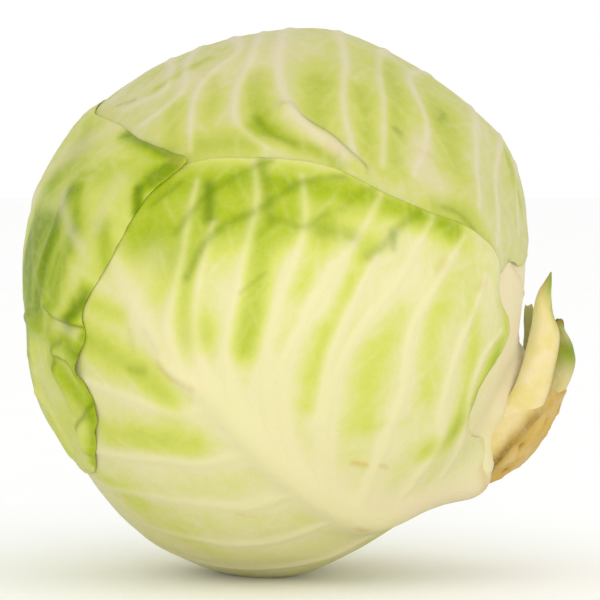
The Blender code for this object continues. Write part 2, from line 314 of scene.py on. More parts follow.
class Leaf:
    """A leaf of the head: its outline, midrib and laterals, its edge, its colours and its folds."""

    def __init__(self, name, middle, outline, midrib, cells, **details):
        self.name = name
        self.middle = ways(middle)[0]
        self.up = unit(UP - self.middle * self.middle[2])
        self.side = np.cross(self.up, self.middle)
        self.edge = unit(spline(ways(outline), np.arange(EDGE_STEPS) / EDGE_STEPS, closed=True))
        self.midrib = path(midrib, MIDRIB_STEPS)
        self.cells = cells
        self.floor = details.get("floor", 0.0) * MM
        self.rib = details.get("rib", (1.5, 8.0, 8.0))  # height, and width on either side, in mm
        self.curl = details.get("curl", 0.5)  # mm that the edge lifts
        self.crinkle = details.get("crinkle", 0.15)  # mm of small folds along the edge
        self.laterals = [path(p, LATERAL_STEPS) for p in details.get("laterals", ())]
        self.lateral_width = details.get("lateral_width", (2.0, 0.7))
        self.lateral_height = details.get("lateral_height", (0.8, 0.15))
        self.lateral_pale = details.get("lateral_pale", 1.0)
        self.green = details.get("green", 0.2)
        # painted shade: a multiplier that darkens the whole leaf for the light it gets
        self.tone = details.get("tone", (1.0, 1.0, 1.0))  # multiplies its colours
        self.paint = details.get("paint", {})
        self.folds = details.get("folds", ())
        self.seed = details.get("seed", 1)
        order = np.argsort(self.bearing(self.edge))
        self.bearings = self.bearing(self.edge)[order]
        self.reaches = angle(self.edge, self.middle)[order]

    def bearing(self, way):
        """The side that a direction lies on as seen from the leaf's middle, 0 to 2 pi."""
        return np.arctan2(way @ self.up, way @ self.side) % math.tau

    def inside(self, way):
        """How far inside the outline a direction is."""
        reach = np.interp(self.bearing(way), self.bearings, self.reaches, period=math.tau)
        return (reach - angle(way, self.middle)) * MEAN_RADIUS

    def cover(self, way):
        """1 where a leaf above is held up by this one, 0 well away from it."""
        return smoothstep((self.inside(way) + SPREAD + RAMP) / RAMP)

    def rib_at(self, way):
        """The midrib's height, and how pale it makes the leaf."""
        height, one_side, other_side = self.rib
        off, along = beside(way, self.midrib)
        width = np.where(off > 0, one_side, other_side) * MM * (1.0 - RIB_NARROWING * along)
        bump = np.exp(-((off / width) ** 2))
        return height * MM * (1.0 - along) ** 0.8 * bump, bump * (1.0 - RIB_FADING * along)

    def veins(self):
        """The laterals that leave the midrib, and the small veins that leave those."""
        laterals = self.laterals or branches(
            self.midrib, gap=12.0, first=14.0, length=85.0, lean=42.0, bend=22.0, seed=self.seed
        )
        look = (self.lateral_width, self.lateral_height, self.lateral_pale, LATERAL_CORE)
        found = [Vein(route, *look) for route in laterals]
        for n, route in enumerate(laterals):
            seed = self.seed + SMALL_VEIN_SEED + n
            for small in branches(route, gap=7.0, first=8.0, length=13.0, lean=46.0, bend=24.0, seed=seed):
                found.append(Vein(small, width=(1.1, 0.7), height=(0.10, 0.03), pale=0.20, core=1.0))
        return found


def round_grid(u, v):
    """(share of the reach, place round the edge) of the points of an even square grid.

    Each side of the square runs from -1 to 1 and takes a quarter of the way round the edge.
    """
    wide = np.abs(u) > np.abs(v)
    reach = np.where(wide, u, v)
    safe = np.where(reach == 0.0, 1.0, reach)
    place = np.where(wide, v / safe / 8.0, 0.25 - u / safe / 8.0)
    return np.abs(reach), (place + np.where(reach < 0, 0.5, 0.0)) % 1.0


def leaf_ways(leaf, u, v):
    """The directions of a leaf's grid points."""
    share, place = round_grid(u, v)
    count = len(leaf.edge)
    low = np.floor(place * count).astype(int)
    part = (place * count - low)[:, None]
    edge = unit(leaf.edge[low % count] * (1.0 - part) + leaf.edge[(low + 1) % count] * part)
    return turned(leaf.middle[None, :], edge, share[:, None])


def underside(leaf, way):
    """How high above the heart the underside of a leaf lies."""
    size = settings()
    height = np.full(len(way), size.leaf_gap)
    for lower in LEAVES[: LEAVES.index(leaf)]:
        layer = size.leaf_thickness + lower.rib_at(way)[0] + size.leaf_gap
        height = height + lower.cover(way) * layer
    return height


def between_ends(ends, along):
    """A value in mm that runs evenly from its first end to its second, in metres."""
    start, end = ends
    return (start + (end - start) * along) * MM


def vein_relief(leaf, way):
    """How far a leaf's veins stand out of it, and how pale they make it."""
    relief, pale = leaf.rib_at(way)
    for vein in leaf.veins():
        near = close_to(way, vein.route, VEIN_REACH * max(vein.width) * MM)
        if not len(near):
            continue
        off, along = beside(way[near], vein.route)
        width = between_ends(vein.width, along)
        height = between_ends(vein.height, along)
        band = np.exp(-((off / width) ** 2))
        core = np.exp(-((off / (vein.core * width)) ** 2))
        relief[near] = np.maximum(relief[near], height * core + CROSSING * relief[near])
        paleness = VEIN_PALENESS[0] * band + VEIN_PALENESS[1] * core
        mark = vein.pale * paleness * (1.0 - VEIN_FADING * along)
        pale[near] = np.maximum(pale[near], mark)
    return relief, pale


def wave_shift(leaf, way, inside):
    """How far a leaf's waves, curled edge and folds move it, in mm."""
    spot = way * MEAN_RADIUS
    blade = HEAD_WAVE[1] * ripple(spot, HEAD_WAVE[0] * MM, HEAD_SEED)
    blade = blade + BLADE_WAVE[1] * ripple(spot, BLADE_WAVE[0] * MM, leaf.seed + 1)
    near_edge = np.exp(-np.maximum(inside, 0.0) / EDGE_BAND)
    curl = leaf.curl * near_edge * (1.0 + 0.5 * ripple(spot, CURL_WAVE * MM, leaf.seed + 2))
    lift = curl + leaf.crinkle * ripple(spot, CRINKLE_WAVE * MM, leaf.seed + 3) * near_edge**0.5
    for places, width, height in leaf.folds:
        lift = lift + stroke(way, places, width, height)
    return blade + np.maximum(lift, -DEEPEST_FOLD * settings().leaf_gap / MM)


def leaf_surface(leaf, way):
    """The heights of a leaf's outside and inside, and what its material needs to know."""
    distance = leaf.inside(way) / MM
    relief, vein = vein_relief(leaf, way)
    taper = EDGE_THICKNESS + (1.0 - EDGE_THICKNESS) * smoothstep(distance / EDGE_TAPER)
    inside = underside(leaf, way) + wave_shift(leaf, way, distance) * MM
    outside = inside + settings().leaf_thickness * taper + relief * settings().relief
    facts = {"vein": np.clip(vein, 0.0, 1.0)}
    for name in ("green", "dark", "pale", "scar"):
        facts[name] = painted(way, leaf.paint.get(name, ()))
    facts["green"] = facts["green"] + leaf.green
    return {"outside": outside, "inside": inside}, facts


# ---- the leaves ----
RIGHT_LEAF = Leaf(
    "inner_leaf_right",
    middle=(80, 6),
    outline=(
        (84, -33), (70, -38), (57, -33), (47, -20), (42, -4), (43, 10), (53, 24), (74, 31),
        (97, 30), (114, 21), (120, 6), (114, -8), (105, -14), (96, -12), (88, -17),
    ),
    midrib=((86, -18), (78, -2), (72, 12), (70, 26)),
    cells=130,
    rib=(1.2, 22.0, 22.0),
    green=0.03,
    folds=(
        (((75, -24), (80, -19), (90, -15)), 6.0, 4.0),
        (((82, -14), (90, -13), (98, -14)), 7.0, 5.0),
        (((74, -36), (79, -28), (84, -20)), 6.0, 3.5),
    ),
    paint={
        "pale": ((((82, -20), (70, -6), (62, 8), (64, 22)), 24, 0.95),),
        "green": ((((60, 28), (90, 28), (112, 16)), 9, 0.35),),
    },
    seed=21,
)
UNDER_LEAF = Leaf(
    "inner_leaf_under",
    middle=(165, -60),
    outline=(
        (98, -46), (107, -38), (124, -30), (150, -25), (180, -22), (-150, -24), (-122, -30),
        (-100, -40), (-88, -56), (-60, -66), (0, -68), (60, -66), (84, -58),
    ),
    midrib=((105, -46), (125, -48), (150, -46), (180, -40)),
    cells=150,
    rib=(1.2, 9.0, 9.0),
    floor=1.5,
    green=0.15,
    seed=31,
)
TOP_LEAF = Leaf(
    "top_leaf",
    middle=(90, 66),
    outline=(
        (-30, 24), (-12, 22), (8, 22), (26, 16), (40, 8), (52, 6), (62, 10), (69, 9),
        (78, 11), (90, 11), (101, 7), (107, -4), (112, -13), (122, -12),
        (134, -6), (150, 4), (175, 18), (-155, 27), (-125, 34), (-95, 34), (-72, 32), (-50, 28),
    ),
    midrib=((114, -8), (118, 8), (128, 30), (135, 62), (-120, 72), (-70, 50)),
    cells=250,
    rib=(1.4, 7.0, 7.0),
    curl=0.2,
    green=0.20,
    # painted shade: the top leaf darkened, standing for the shade on the top of the head
    tone=(0.88, 0.87, 1.0),
    laterals=(
        ((-110, 66), (-60, 64), (-42, 54), (-55, 48)),
        ((-120, 74), (-50, 66), (-33, 53), (-40, 43)),
        ((-140, 76), (-40, 78), (-19, 67), (-27, 54), (-21, 36)),
        ((-170, 76), (-70, 88), (-10, 67), (-12, 52), (-9, 42), (-1, 36)),
        ((150, 74), (60, 86), (3, 65), (5, 48), (12, 38), (18, 34)),
        ((136, 62), (80, 76), (34, 62), (22, 47), (21, 33)),
        ((132, 52), (90, 66), (48, 59), (36, 47), (28, 32)),
        ((129, 38), (98, 54), (62, 56), (47, 40), (36, 30)),
        ((125, 26), (102, 44), (79, 43), (60, 32), (53, 22)),
        ((120, 14), (104, 34), (84, 36), (66, 28), (57, 14)),
        ((117, 4), (104, 22), (88, 30), (76, 24), (69, 16)),
        ((122, 14), (138, 16), (156, 12)),
        ((128, 32), (150, 32), (174, 26)),
        ((134, 56), (175, 52), (-158, 36)),
        ((-168, 72), (-146, 56), (-132, 40)),
        ((-115, 70), (-104, 54), (-98, 40)),
    ),
    lateral_width=(2.6, 1.6),
    lateral_height=(0.5, 0.25),
    paint={
        "green": (
            (((-6, 58), (-4, 48), (-1, 41)), 4.5, 0.34),
            (((-4, 42), (4, 38), (12, 35), (16, 32)), 3.0, 0.36),
            (((-18, 37), (-6, 37)), 5.0, 0.30),
            (((-22, 57), (-18, 45)), 3.0, 0.20),
            (((-31, 48), (-27, 37)), 3.5, 0.22),
            (((-34, 65), (-47, 55)), 2.0, 0.30),
            (((17, 55), (12, 42)), 5.0, 0.25),
            (((31, 52), (25, 35)), 3.0, 0.22),
            (((60, 62), (42, 50), (36, 40), (31, 31)), 4.5, 0.20),
            (((58, 45), (50, 31)), 6.0, 0.22),
            (((80, 33), (77, 22)), 2.5, 0.25),
            (((39, 23), (46, 20), (52, 14)), 4.0, 0.22),
            (((120, 60), (170, 60)), 26, 0.22),
        ),
        "dark": (
            (((-4, 44), (-1, 40), (6, 37)), 1.3, 0.35),
            (((-62, 49), (-54, 51)), 0.8, 0.35),
            (((36, 41), (37, 40)), 1.2, 0.40),
            (((55, 43), (60, 44)), 1.2, 0.30),
            # painted shadow: a thin dark line along the upper side of the fold
            (((9, 43.5), (13, 41), (17, 38.5), (20, 34.5), (23, 31.5)), 0.7, 0.40),
            (((41, 22), (45, 20.5), (49, 17)), 0.9, 0.35),
            (((62, 10), (63, 9)), 1.0, 0.50),
        ),
        "pale": (
            (((5, 44), (10, 40), (15, 37), (18, 33)), 2.2, 0.60),
            (((42, 37), (38, 32), (41, 27)), 4.5, 0.45),
            (((-30, 58), (-12, 62), (10, 70)), 9.0, 0.30),
        ),
        "scar": ((((14, 36), (16, 35)), 1.2, 0.18), (((41, 35), (43, 34)), 1.0, 0.20)),
    },
    folds=(
        (((4, 46), (9, 41.5), (14, 38.5), (18, 34.5), (21, 31.5)), 2.4, 2.1),
        (((10, 44.5), (15, 41.5), (20, 37), (24, 33)), 1.7, -0.7),
        (((17, 33.5), (19, 32), (22, 30)), 1.3, 1.0),
    ),
    seed=41,
)
FRONT_LEAF = Leaf(
    "front_leaf",
    middle=(0, -26),
    outline=(
        (-36, 29), (-23, 32), (-15, 33.5), (-6, 33.5), (6, 33), (15, 31), (26, 25.5),
        (37, 21), (48, 17), (56, 11), (55, 3), (61, -2), (62, -6), (57, -11), (53.5, -15),
        (52.5, -20), (54, -25), (61, -29), (72, -31), (81, -38), (90, -46), (104, -54),
        (140, -64), (180, -67), (-140, -61), (-115, -52), (-92, -42), (-76, -27),
        (-66, -12), (-60, 4), (-50, 19),
    ),
    midrib=((80, -40), (60, -45), (36, -50), (19, -45), (0, -31), (-12, -17), (-24, -5), (-36, 14)),
    cells=300,
    rib=(3.6, 7.0, 9.5),
    curl=0.10,
    crinkle=0.10,
    green=0.10,
    # painted shade: the front leaf darkened slightly for the light it gets
    tone=(0.96, 0.96, 0.99),
    laterals=(
        ((-18, -12), (-21, -3), (-20, 4), (-18, 14), (-17, 28)),
        ((-13, -15), (-15, -5), (-15, 4), (-12, 19)),
        ((-8, -21), (-9, -12), (-9, -4), (-6, 10), (-3, 23), (-4, 32)),
        ((3, -33), (-1, -18), (-1, -6), (3, 8), (7, 18), (7, 29)),
        ((7, -37), (3, -24), (2, -12), (5, -4), (12, 8), (19, 17), (25, 25)),
        ((11, -22), (12, -10), (14, -3), (19, 7), (22, 12)),
        ((16, -43), (12, -24), (14, -11), (18, -3), (26, 6), (32, 14), (37, 20)),
        ((26, -46), (28, -26), (30, -15), (30, -3), (36, 7), (45, 16)),
        ((38, -47), (44, -30), (41, -18), (42, -9), (45, -1), (50, 7)),
        ((52, -44), (54, -30), (49, -18), (51, -9), (57, -4)),
        ((-12, -18), (-20, -20), (-28, -18), (-40, -15), (-56, -10)),
        ((-4, -28), (-14, -32), (-29, -31), (-45, -31), (-66, -26)),
        ((8, -38), (-6, -44), (-22, -43), (-42, -41), (-66, -40)),
        ((22, -46), (7, -55), (-15, -57), (-34, -55), (-66, -50)),
        ((50, -48), (30, -64), (-30, -70), (-80, -60), (-110, -52)),
        ((72, -43), (80, -60), (130, -72), (-150, -64)),
    ),
    lateral_width=(4.2, 1.7),
    lateral_height=(0.50, 0.28),
    paint={
        "green": (
            (((-34, 25), (-16, 28), (-2, 28), (14, 26), (26, 23), (42, 17)), 7.0, 0.62, 4.6),
            (((-30, 16), (-14, 19), (2, 20)), 9.0, 0.50),
            (((6, 19), (20, 17)), 6.0, 0.20),
            (((-26, 22), (-25, 15), (-21, 11)), 5.5, 0.24),
            (((-18, 12), (-17, 4), (-15, -4)), 5.6, 0.42),
            (((-24, 2), (-20, -4)), 6.0, 0.14),
            (((-2, 16), (-3, 6), (-5, -6)), 4.6, 0.44),
            (((12, 20), (9, 12), (5, 5)), 3.4, 0.24),
            (((20, 14), (15, 4), (10, -6), (8, -18)), 3.0, 0.24),
            (((28, 1), (22, -8), (20, -20)), 5.0, 0.16),
            (((38, 7), (35, -2), (35, -16)), 4.6, 0.18),
            (((46, 0), (47, -12), (48, -22)), 3.0, 0.20),
            (((57, -8), (54, -16), (50, -23), (43, -30)), 4.6, 0.50),
            (((57, 2), (60, -4)), 3.6, 0.26),
            (((17, -24), (30, -23)), 3.0, 0.12),
            (((-41, -5), (-33, -9), (-26, -13), (-21, -19)), 5.0, 0.34),
            (((-40, -26), (-28, -26), (-18, -27)), 5.0, 0.28),
            (((-53, -38), (-42, -42)), 5.0, 0.18),
            (((-46, -46), (-28, -57), (-1, -63)), 6.0, 0.12),
            (((-39, 2), (-32, 0)), 3.2, 0.28),
        ),
        "dark": (
            (((-14, 27), (-13, 20)), 2.0, 0.80),
            (((-20, 17), (-17, 21), (-14, 25), (-6, 30), (0, 32.5)), 1.3, 0.38),
            (((-17, 8), (-14, 14), (-10, 18), (-4, 21)), 1.4, 0.48),
            (((-2, 35), (-2, 31), (-1, 27), (0, 19)), 1.8, 0.40),
            (((-2, 22), (4, 26), (7, 27.5), (17, 29)), 1.3, 0.40),
            (((0, 20), (3, 19), (7, 18), (12, 21)), 1.3, 0.30),
            (((10, 17.5), (17, 16)), 2.4, 0.32),
            (((15, 21.5), (18, 24), (22, 26), (29, 27)), 1.3, 0.22),
            (((20, 12), (26, 16), (28, 18), (34, 21)), 1.5, 0.36),
            (((26, 17), (26, 14)), 1.3, 0.35),
            (((-6, 5), (-1, 9)), 0.7, 0.25),
            (((37, 22), (41, 21), (44, 19)), 1.1, 0.35),
            (((-27, 23), (-23, 26), (-21, 28)), 1.0, 0.35),
            (((-30, -11), (-27, -11)), 1.5, 0.30),
            (((-30, -3), (-29, -7)), 1.0, 0.12),
            (((-26, -3), (-23, -7)), 1.0, 0.10),
        ),
        "pale": (
            (((88, -42), (76, -40), (60, -43), (44, -45)), 4.6, 0.85),
            (((82, -36), (84, -48)), 7.0, 0.90),
            (((44, -45), (30, -43)), 4.0, 0.40),
            (((-24, 12), (-28, 6), (-24, -2), (-14, -10)), 5.0, 0.25),
            (((4, -26), (14, -36), (26, -40)), 8.0, 0.30),
            (((30, -60), (0, -62), (-40, -60)), 9.0, 0.20),
        ),
        "scar": (
            (((-23, -9), (-21, -12), (-16, -14)), 0.9, 0.28),
            (((20, -32), (24, -33)), 0.9, 0.45),
            (((28, -33), (30, -34)), 0.9, 0.35),
            (((28, -50), (32, -51)), 1.2, 0.40),
            (((-10, -46), (-5, -47)), 0.7, 0.25),
            (((36, 9), (38, 11)), 1.4, 0.22),
            (((47, 5), (49, 6)), 1.4, 0.22),
            (((70, -36), (76, -41)), 2.0, 0.35),
        ),
    },
    folds=(
        (((-23, -9), (-16, -14)), 1.6, 0.7),
        (((-17, 8), (-14, 14), (-10, 18), (-4, 21)), 1.2, -0.30),
        (((-2, 22), (4, 26), (7, 27.5), (17, 29)), 1.2, -0.30),
        (((-14, 27), (-13, 20)), 1.6, -0.30),
    ),
    seed=51,
)
BACK_LEAF = Leaf(
    "back_leaf",
    middle=(-112, 2),
    outline=(
        (-20.5, 33), (-23.5, 29.5), (-28, 25.5), (-30.5, 21), (-33, 16), (-36, 10), (-40, 4),
        (-42, 0), (-41.5, -5), (-44.5, -11), (-42, -18), (-42, -22), (-44, -25), (-47, -30),
        (-53, -36), (-65, -39), (-95, -42), (-130, -41), (-165, -43), (165, -44), (140, -42), (122, -37),
        (112, -28), (116, -18), (124, -3), (142, 16), (170, 31), (-160, 41), (-125, 49),
        (-95, 50), (-72, 46), (-50, 43), (-36, 38), (-26, 35),
    ),
    midrib=((116, -28), (135, -18), (165, -8), (-165, 4), (-130, 18), (-90, 24), (-55, 22)),
    cells=300,
    rib=(3.4, 8.0, 8.0),
    green=0.27,
    # painted shade: the back leaf darkened slightly for the light it gets
    tone=(0.93, 0.94, 0.98),
    curl=0.05,
    crinkle=0.22,
    lateral_width=(3.0, 1.5),
    lateral_height=(0.30, 0.15),
    lateral_pale=0.18,
    paint={
        "green": (
            # strokes from azimuth -60 to -75, towards the head's left edge, are deeper green partly for the
            # leaf's own colour and partly as painted shade on the shaded left side
            (((-43, 40), (-30, 36), (-23, 33), (-28, 28)), 3.2, 0.80),
            (((-62, 36), (-69, 24), (-72, 12)), 8.0, 0.55),
            (((-52, 30), (-32, 30)), 6.0, 0.18),
            (((-31, 26), (-30, 21)), 1.9, 0.70),
            (((-50, 26), (-48, 21)), 2.6, 0.35),
            (((-54, 25), (-56, 17), (-58, 9), (-60, 1)), 5.2, 0.72),
            (((-62, 20), (-66, 8), (-67, 0)), 6.0, 0.62),
            (((-48, 17), (-50, 9), (-53, 1)), 4.8, 0.58),
            (((-72, 14), (-75, 2), (-73, -8)), 9.0, 0.50),
            (((-38, 18), (-36, 10)), 3.0, 0.35),
            (((-41, 4), (-46, -2)), 3.4, 0.70),
            (((-47, -6), (-43, -10)), 3.4, 0.40),
            # a darker green line along the curled edge: partly the edge's own green, partly painted shade
            # under the curl
            (((-41, -3), (-44, -11), (-42, -18), (-44.5, -25), (-51, -34)), 1.7, 0.45),
            (((-66, -3), (-51, -5)), 3.4, 0.36),
            (((-53, -11), (-47, -16), (-44, -20)), 4.4, 0.40),
            (((-70, 20), (-75, -10), (-72, -30)), 9.0, 0.15),
            (((-100, 40), (-140, 38), (-175, 26), (150, 12)), 9.0, 0.22),
            (((-90, -34), (-130, -34), (180, -36)), 9.0, 0.22),
        ),
        "dark": (
            (((-37, 38), (-30, 36), (-25, 34.2)), 1.1, 0.25),
            (((-31, 26), (-30, 21.5)), 1.6, 0.75),
            (((-54, 22), (-56, 16), (-58, 10)), 2.2, 0.50),
            (((-52, 12), (-54, 6)), 1.3, 0.35),
            (((-41, 3), (-45, -1)), 1.6, 0.60),
            (((-52, -7), (-49, -6)), 1.2, 0.50),
            (((-47, -7), (-44, -9)), 1.6, 0.35),
            # painted shade: these thin dark lines lie in the creases beside the folds
            (((-52, -8), (-53, -12)), 0.8, 0.55),
            (((-41, -18), (-45, -21), (-51, -25)), 0.9, 0.55),
            (((-55, 1), (-51, -1), (-43, -2.5), (-41, -3)), 0.5, 0.60),
            (((-51, -9), (-47, -10), (-45, -13)), 0.5, 0.60),
        ),
        "pale": (
            (((-50, 44), (-60, 38), (-72, 33)), 5.5, 0.45),
            (((-58, 26), (-50, 18), (-43, 13)), 2.4, 0.40),
            (((-37, 28), (-40, 18)), 3.0, 0.30),
            (((-50, -2), (-44, -4)), 1.6, 0.35),
        ),
        "scar": ((((-24, 33), (-22, 32)), 1.0, 0.35),),
    },
    folds=(
        (((-56, 2), (-51, 0), (-43, -1.5)), 1.8, 1.2),
        (((-56, 0), (-51, -2), (-42, -3.5)), 1.1, -0.9),
        (((-52, -8), (-47, -9), (-44, -12)), 1.8, 1.2),
        (((-52, -10), (-48, -11.5), (-46, -14)), 1.1, -0.9),
        (((-41, -17), (-45, -20), (-52, -24)), 1.5, -1.0),
        (((-44, -20), (-50, -28)), 2.2, 0.9),
        (((-66, -18), (-61, -24), (-60, -31)), 1.6, 0.9),
        (((-70, -2), (-58, -5), (-52, -5)), 1.8, 0.8),
        (((-60, 8), (-56, 18), (-52, 28)), 2.0, 0.6),
        (((-53, -12), (-49, -20), (-50, -30)), 2.0, 1.0),
        (((-57, -13), (-55, -22), (-57, -33)), 1.6, -0.8),
        (((-64, -8), (-66, -20), (-64, -33)), 2.4, 0.9),
        (((-43, -20), (-44, -25)), 1.6, 0.8),
        (((-42, -4), (-45, -11), (-43, -18)), 1.5, 0.6),
    ),
    seed=61,
)
LEAVES = (RIGHT_LEAF, UNDER_LEAF, TOP_LEAF, FRONT_LEAF, BACK_LEAF)  # from the heart outwards


# ---- materials ----
GREEN_STOPS = (0.0, 0.30, 0.68, 1.0)  # how green a leaf is at each of its four tints
LEAF_SPECULAR = 0.09
STEM_SPECULAR = 0.12
LEAF_GRAIN = 0.16  # mm of relief
STEM_GRAIN = 0.35


def linear(red, green, blue):
    """A colour given as 0 to 255 display values, as the shader wants it."""
    shares = [c / 255.0 for c in (red, green, blue)]
    return tuple(s / 12.92 if s < 0.04045 else ((s + 0.055) / 1.055) ** 2.4 for s in shares)


class Painter:
    """Lays colours over each other in a material's nodes."""

    def __init__(self, name):
        self.material = bpy.data.materials.new(name)
        self.material.use_nodes = True
        self.nodes = self.material.node_tree.nodes
        self.links = self.material.node_tree.links
        self.shader = self.nodes["Principled BSDF"]
        self.place = self.node("TexCoord", {}).outputs["Object"]

    def feed(self, node, inlets):
        """Sets each inlet of a node to a value, or links it to another node's outlet."""
        for name, value in inlets.items():
            if isinstance(value, bpy.types.NodeSocket):
                self.links.new(value, node.inputs[name])
            else:
                node.inputs[name].default_value = value

    def node(self, kind, inlets, **choices):
        node = self.nodes.new("ShaderNode" + kind)
        for name, value in choices.items():
            setattr(node, name, value)
        self.feed(node, inlets)
        return node

    def fact(self, name):
        """A number that the mesh carries at each point."""
        return self.node("Attribute", {}, attribute_name=name).outputs["Fac"]

    def noise(self, size, detail, roughness):
        """Cloudy noise whose lumps are about size (mm) across."""
        inlets = {"Vector": self.place, "Scale": 1.0 / (size * MM), "Detail": detail, "Roughness": roughness}
        return self.node("TexNoise", inlets).outputs["Fac"]

    def net(self, size, width, wander):
        """The fine net of the smallest veins: 1 on a line, 0 between."""
        swirl = self.node("TexNoise", {"Vector": self.place, "Scale": 0.6 / (size * MM)})
        inlets = {0: swirl.outputs["Color"], 1: (wander * MM,) * 3, 2: self.place}
        bent = self.node("VectorMath", inlets, operation="MULTIPLY_ADD")
        inlets = {"Vector": bent.outputs[0], "Scale": 1.0 / (size * MM)}
        cells = self.node("TexVoronoi", inlets, feature="DISTANCE_TO_EDGE")
        return self.between(cells.outputs["Distance"], width, 0.0)

    def between(self, value, low, high, start=0.0, end=1.0):
        """value carried smoothly from low..high to start..end."""
        inlets = {"Value": value, "From Min": low, "From Max": high, "To Min": start, "To Max": end}
        return self.node("MapRange", inlets, interpolation_type="SMOOTHSTEP").outputs["Result"]

    def math(self, operation, first, second, clamp=False):
        return self.node("Math", {0: first, 1: second}, operation=operation, use_clamp=clamp).outputs[0]

    def times(self, first, second):
        return self.math("MULTIPLY", first, second)

    def plus(self, first, second):
        return self.math("ADD", first, second, clamp=True)

    def ramp(self, value, stops):
        """A colour for each value, from (position, colour) stops."""
        node = self.node("ValToRGB", {"Fac": value})
        band = node.color_ramp
        band.interpolation = "LINEAR"
        while len(band.elements) < len(stops):
            band.elements.new(0.5)
        for element, (position, colour) in zip(band.elements, stops):
            element.position = position
            element.color = (*colour, 1.0)
        return node.outputs["Color"]

    def mix(self, below, above, share, blend="MIX"):
        """One colour laid over another by a share, or multiplied by it."""
        below, above = ((*c, 1.0) if isinstance(c, tuple) else c for c in (below, above))
        inlets = {6: below, 7: above, 0: share}  # its inlets for colours are the seventh and eighth
        return self.node("Mix", inlets, data_type="RGBA", blend_type=blend).outputs[2]

    def finish(self, colour, roughness, bump, bump_depth, specular=0.5):
        """Joins the colour, the roughness and a bump (depth in mm) to the shader."""
        relief = self.node("Bump", {"Strength": 1.0, "Distance": bump_depth * MM, "Height": bump})
        inlets = {"Base Color": colour, "Roughness": roughness, "Normal": relief.outputs["Normal"]}
        self.feed(self.shader, {**inlets, "Metallic": 0.0, "Specular IOR Level": specular})
        return self.material


def leaf_material(name, tints, tone=(1.0, 1.0, 1.0)):
    """Waxy leaf: cream to green by its strokes, with pale veins, a fine net, dark streaks and scars; the
    streaks in creases and a darkening of the whole leaf are painted shade.
    """
    paint = Painter(name)
    vein, green, dark = paint.fact("vein"), paint.fact("green"), paint.fact("dark")
    pale, scar = paint.fact("pale"), paint.fact("scar")
    cloud = paint.noise(size=22.0, detail=4.0, roughness=0.55)
    mottle = paint.noise(size=3.2, detail=4.0, roughness=0.6)
    fine_net = paint.net(size=5.5, width=0.09, wander=2.2)
    finest_net = paint.net(size=2.1, width=0.12, wander=0.9)
    blotch = paint.between(mottle, 0.1, 0.6, 0.6, 1.0)
    scab = paint.between(mottle, 0.2, 0.6, 0.6, 1.0)
    # green: how green the leaf is; towards the back leaf's left edge and along its curled edge it is raised
    # partly as painted shade
    shade = paint.plus(green, paint.between(cloud, 0.25, 0.75, -0.09, 0.09))
    shade = paint.plus(shade, paint.between(mottle, 0.2, 0.8, -0.04, 0.04))
    shade = paint.math("SUBTRACT", shade, paint.times(vein, 0.30), clamp=True)
    greens = (tints.cream[:], tints.yellow_green[:], tints.mid_green[:], tints.deep_green[:])
    colour = paint.ramp(shade, tuple(zip(GREEN_STOPS, greens)))
    colour = paint.mix(colour, tints.vein_cream[:], paint.times(vein, 0.50))
    lines = paint.plus(paint.times(fine_net, 0.06), paint.times(finest_net, 0.03))
    colour = paint.mix(colour, tints.vein_cream[:], paint.times(lines, paint.plus(shade, 0.15)))
    # dark green streaks, which on the top and back leaves include painted shade in the creases beside their
    # folds
    colour = paint.mix(colour, tints.dark_green[:], paint.times(dark, blotch))
    colour = paint.mix(colour, tints.white_rib[:], pale)
    colour = paint.mix(colour, tints.tan[:], paint.times(scar, scab))
    # painted shade: the whole leaf multiplied by its painted shade
    colour = paint.mix(colour, tone, 1.0, "MULTIPLY")
    roughness = paint.plus(paint.between(mottle, 0.3, 0.7, 0.38, 0.50), paint.times(scar, 0.25))
    bump = paint.plus(paint.times(lines, 2.0), paint.times(mottle, 0.35))
    return paint.finish(colour, roughness, bump, LEAF_GRAIN, LEAF_SPECULAR)


def stem_material(name, tints):
    """Cream stem flesh going tan and brown over its cut, with dark spots where the veins end."""
    paint = Painter(name)
    green, dark, scar = paint.fact("green"), paint.fact("dark"), paint.fact("scar")
    cloud = paint.noise(size=9.0, detail=4.0, roughness=0.6)
    grain = paint.noise(size=1.6, detail=4.0, roughness=0.65)
    colour = paint.mix(tints.stem_cream[:], tints.stem_yellow[:], paint.between(cloud, 0.3, 0.7))
    colour = paint.mix(colour, tints.deep_green[:], green)
    worn = paint.times(scar, paint.between(cloud, 0.25, 0.65, 0.55, 1.0))
    colour = paint.mix(colour, tints.tan[:], worn)
    browned = paint.times(dark, paint.between(grain, 0.2, 0.6, 0.5, 1.0))
    colour = paint.mix(colour, tints.brown[:], browned)
    roughness = paint.plus(paint.between(grain, 0.3, 0.7, 0.45, 0.60), paint.times(scar, 0.2))
    bump = paint.plus(paint.times(grain, 0.5), paint.times(dark, -0.4))
    return paint.finish(colour, roughness, bump, STEM_GRAIN, STEM_SPECULAR)


# ---- mesh work ----
def settings():
    return bpy.context.scene.cabbage


def new_piece(name, add, **options):
    """A new object of this name, made by one of the add operators."""
    bpy.ops.object.select_all(action="DESELECT")
    add(**options)
    piece = bpy.context.object
    piece.name = piece.data.name = name
    return piece


def edit_whole(operator, **options):
    """Runs an edit operator on the whole of the active mesh."""
    bpy.ops.object.mode_set(mode="EDIT")
    bpy.ops.mesh.select_all(action="SELECT")
    operator(**options)
    bpy.ops.object.mode_set(mode="OBJECT")


def select_only(*pieces):
    """Selects just these pieces, with the first of them active."""
    bpy.ops.object.select_all(action="DESELECT")
    for piece in pieces:
        piece.select_set(True)
    bpy.context.view_layer.objects.active = pieces[0]


def points_of(piece):
    flat = np.empty(len(piece.data.vertices) * 3)
    piece.data.vertices.foreach_get("co", flat)
    return flat.reshape(-1, 3)


